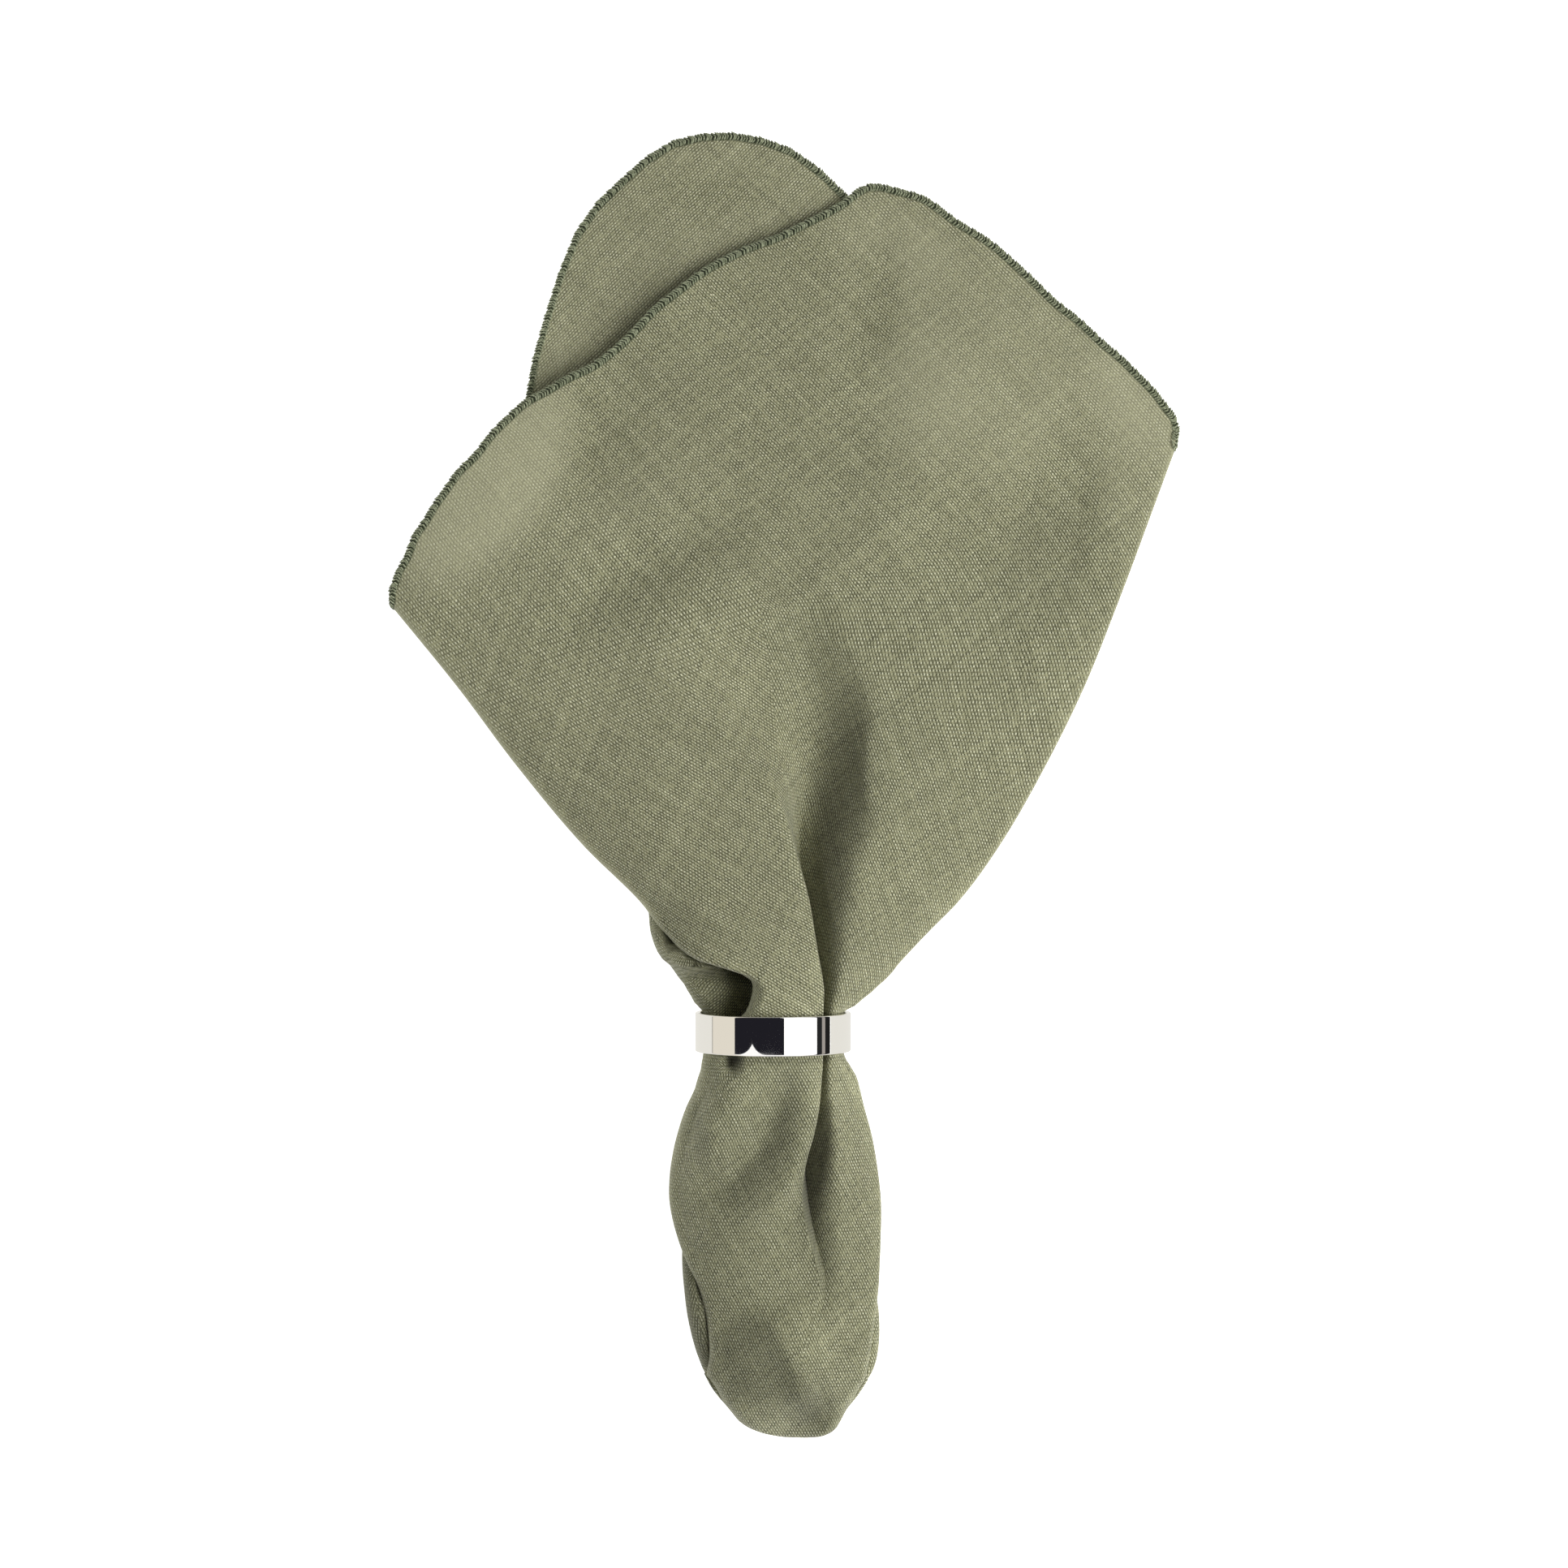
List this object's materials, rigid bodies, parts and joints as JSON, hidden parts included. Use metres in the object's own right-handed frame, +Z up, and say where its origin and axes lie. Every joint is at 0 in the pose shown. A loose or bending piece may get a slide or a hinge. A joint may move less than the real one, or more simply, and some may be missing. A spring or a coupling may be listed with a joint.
{
  "type": "cloth napkin in a ring",
  "caption": "Square linen napkin pinched at its middle and drawn through a polished band ring, lying with its corners fanned out.",
  "frame": {"origin": "on the table, under the middle of the part's box", "axes": "+Y from the tail through the ring to the fan, +X to the right seen from above with the fan away, +Z up"},
  "size_m": [0.2059, 0.3394, 0.04],
  "materials": {
    "linen": "matt open plain weave, olive green",
    "ring_metal": "mirror polished silver-coloured metal"
  },
  "bodies": {
    "root": {"napkin": "linen", "napkin_ring": "ring_metal"}
  },
  "joints": []
}
